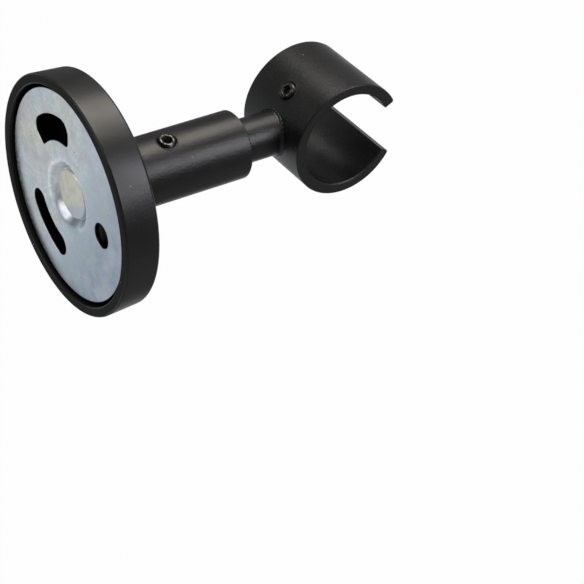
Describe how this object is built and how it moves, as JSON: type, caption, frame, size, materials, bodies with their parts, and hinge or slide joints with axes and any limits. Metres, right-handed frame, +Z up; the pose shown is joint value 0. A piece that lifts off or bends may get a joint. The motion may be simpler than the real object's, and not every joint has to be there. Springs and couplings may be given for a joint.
{
  "type": "ceiling pole bracket",
  "caption": "Ceiling bracket for a curtain pole: round rose with a sleeve, a sliding stem locked by a grub screw, and an open C cup that grips the pole.",
  "frame": {"origin": "centre of the rose's rim, in the plane of the ceiling", "axes": "+Z up into the ceiling along the stem, X along the pole, +Y the side of the grub screws"},
  "size_m": [0.068, 0.068, 0.0998],
  "materials": {
    "black_paint": "satin black paint",
    "zinc_plate": "bright zinc plating",
    "stud_metal": "plated steel, slightly yellow",
    "screw_steel": "blackened steel with worn edges"
  },
  "bodies": {
    "base": {"mounting_plate": "zinc_plate", "plate_stud": "stud_metal", "rose": "black_paint"},
    "arm": {"stem": "black_paint", "cup": "black_paint"},
    "sleeve_screw": {"sleeve_grub_screw": "screw_steel"},
    "cup_screw": {"cup_grub_screw": "screw_steel"}
  },
  "joints": [
    {"name": "stem_slide", "type": "slide", "parent": "base", "child": "arm", "axis": [0, 0, -1], "range_m": [-0.0115, 0.004]},
    {"name": "sleeve_screw_travel", "type": "slide", "parent": "base", "child": "sleeve_screw", "axis": [0.23, 0.9732, 0], "range_m": [0, 0.0025]},
    {"name": "cup_screw_travel", "type": "slide", "parent": "arm", "child": "cup_screw", "axis": [0, -0.7071, -0.7071], "range_m": [-0.0024, 0.0011]}
  ]
}
